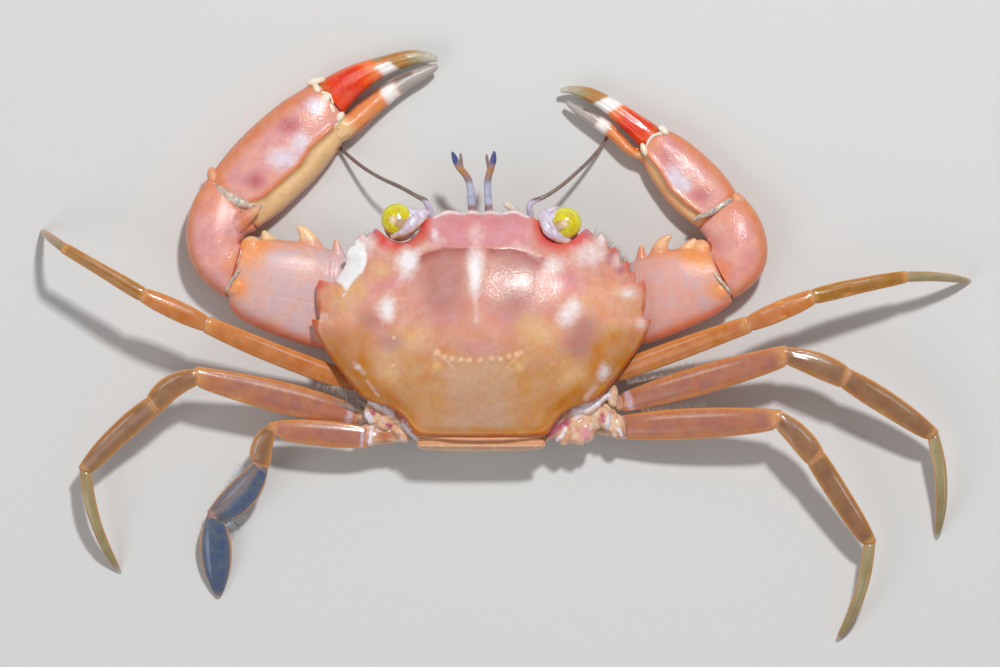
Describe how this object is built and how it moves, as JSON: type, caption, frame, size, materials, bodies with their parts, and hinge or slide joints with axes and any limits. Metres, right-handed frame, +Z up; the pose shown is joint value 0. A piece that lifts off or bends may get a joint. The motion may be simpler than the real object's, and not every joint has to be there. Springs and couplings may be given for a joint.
{
  "type": "swimming crab",
  "caption": "Smooth-shelled swimming crab at life size, resting on its belly with its claws held forward and its legs spread to the sides.",
  "frame": {"origin": "middle of the flat underside of the belly, on the animal's midline and level with the widest part of its shell", "axes": "+Y towards the crab's front, +X towards its right side, +Z up"},
  "size_m": [0.141, 0.0896, 0.0168],
  "materials": {
    "pink_shell": "polished calcified shell, salmon pink in front and tan orange behind, with white patches",
    "claw_shell": "polished calcified shell, mauve pink above and yellow tan below, with orange edges",
    "finger_shell": "polished red orange shell with a white band and a horn-coloured tip",
    "leg_shell": "thin, slightly see-through brown shell with orange edges",
    "paddle_shell": "thin slate blue plate with an orange rim",
    "belly_shell": "satin cream shell",
    "stalk_skin": "wet, pearly lilac white skin",
    "eye_yellow": "wet yellow green eye with olive flecks",
    "feeler_grey": "satin grey brown"
  },
  "bodies": {
    "root": {"abdomen": "belly_shell", "antenna_left": "feeler_grey", "antenna_right": "feeler_grey", "antennule_left": "feeler_grey", "antennule_right": "feeler_grey", "carapace": "pink_shell", "claw_left_carpus": "claw_shell", "claw_left_coxa": "claw_shell", "claw_left_finger": "finger_shell", "claw_left_merus": "claw_shell", "claw_left_palm": "claw_shell", "claw_right_carpus": "claw_shell", "claw_right_coxa": "claw_shell", "claw_right_finger": "finger_shell", "claw_right_merus": "claw_shell", "claw_right_palm": "claw_shell", "eye_left": "eye_yellow", "eye_right": "eye_yellow", "eyestalk_left": "stalk_skin", "eyestalk_right": "stalk_skin", "leg_left_2_carpus": "leg_shell", "leg_left_2_coxa": "leg_shell", "leg_left_2_dactylus": "leg_shell", "leg_left_2_merus": "leg_shell", "leg_left_2_propodus": "leg_shell", "leg_left_3_stump": "leg_shell", "leg_left_4_carpus": "leg_shell", "leg_left_4_coxa": "leg_shell", "leg_left_4_dactylus": "leg_shell", "leg_left_4_merus": "leg_shell", "leg_left_4_propodus": "leg_shell", "leg_left_5_carpus": "leg_shell", "leg_left_5_coxa": "leg_shell", "leg_left_5_dactylus": "paddle_shell", "leg_left_5_merus": "leg_shell", "leg_left_5_propodus": "paddle_shell", "leg_right_2_carpus": "leg_shell", "leg_right_2_coxa": "leg_shell", "leg_right_2_dactylus": "leg_shell", "leg_right_2_merus": "leg_shell", "leg_right_2_propodus": "leg_shell", "leg_right_3_carpus": "leg_shell", "leg_right_3_coxa": "leg_shell", "leg_right_3_dactylus": "leg_shell", "leg_right_3_merus": "leg_shell", "leg_right_3_propodus": "leg_shell", "leg_right_4_carpus": "leg_shell", "leg_right_4_coxa": "leg_shell", "leg_right_4_dactylus": "leg_shell", "leg_right_4_merus": "leg_shell", "leg_right_4_propodus": "leg_shell", "leg_right_5_stump": "leg_shell", "mouth_plate_left": "belly_shell", "mouth_plate_right": "belly_shell", "thorax": "belly_shell"}
  },
  "joints": []
}
